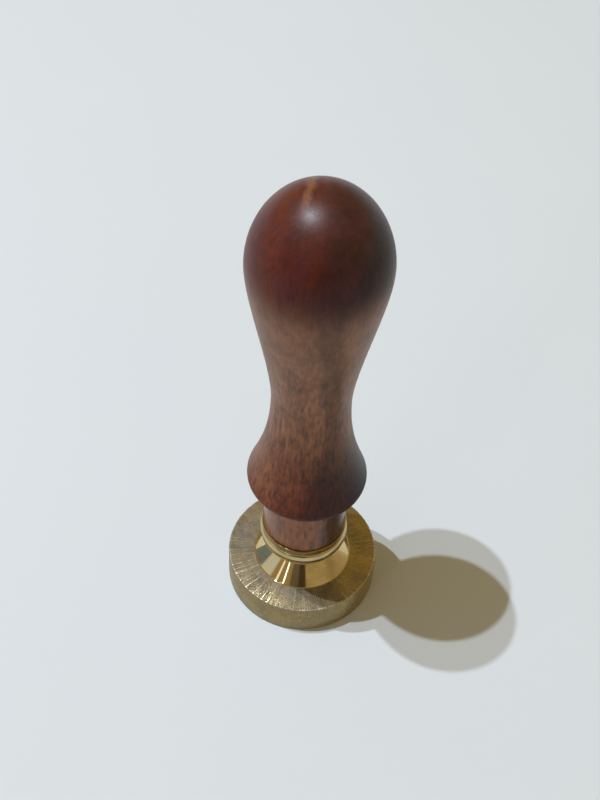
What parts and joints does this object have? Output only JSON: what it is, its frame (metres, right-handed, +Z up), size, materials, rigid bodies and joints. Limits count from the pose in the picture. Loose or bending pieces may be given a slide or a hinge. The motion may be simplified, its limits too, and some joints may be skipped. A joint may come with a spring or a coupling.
{
  "type": "wax seal stamp",
  "caption": "Hand stamp for sealing wax: turned wooden handle with a beaded metal ferrule on a round metal head with an engraved face, which unscrews.",
  "frame": {"origin": "centre of the engraved face, on the surface that the stamp stands on", "axes": "+Z up the common axis of every piece, from the engraved face to the knob"},
  "size_m": [0.025, 0.025, 0.0882],
  "materials": {
    "rosewood": "glossy varnish",
    "brass_polished": "polished",
    "brass_satin": "satin, slightly tarnished",
    "stud_steel": "plain"
  },
  "bodies": {
    "head": {"stamp_head": "brass_satin"},
    "ferrule": {"brass_ferrule": "brass_polished"},
    "handle": {"wood_handle": "rosewood", "threaded_stud": "stud_steel"}
  },
  "joints": [
    {"name": "handle_rise", "type": "slide", "parent": "head", "child": "ferrule", "axis": [0, 0, 1], "range_m": [0, 0.0065]},
    {"name": "handle_turn", "type": "hinge", "parent": "ferrule", "child": "handle", "pos_m": [0, 0, 0.0108], "axis": [0, 0, 1], "range_deg": [0, 2340]}
  ],
  "couplings": [
    {"joint": "handle_rise", "follows": "handle_turn", "m_per_rad": 0.00015915}
  ]
}
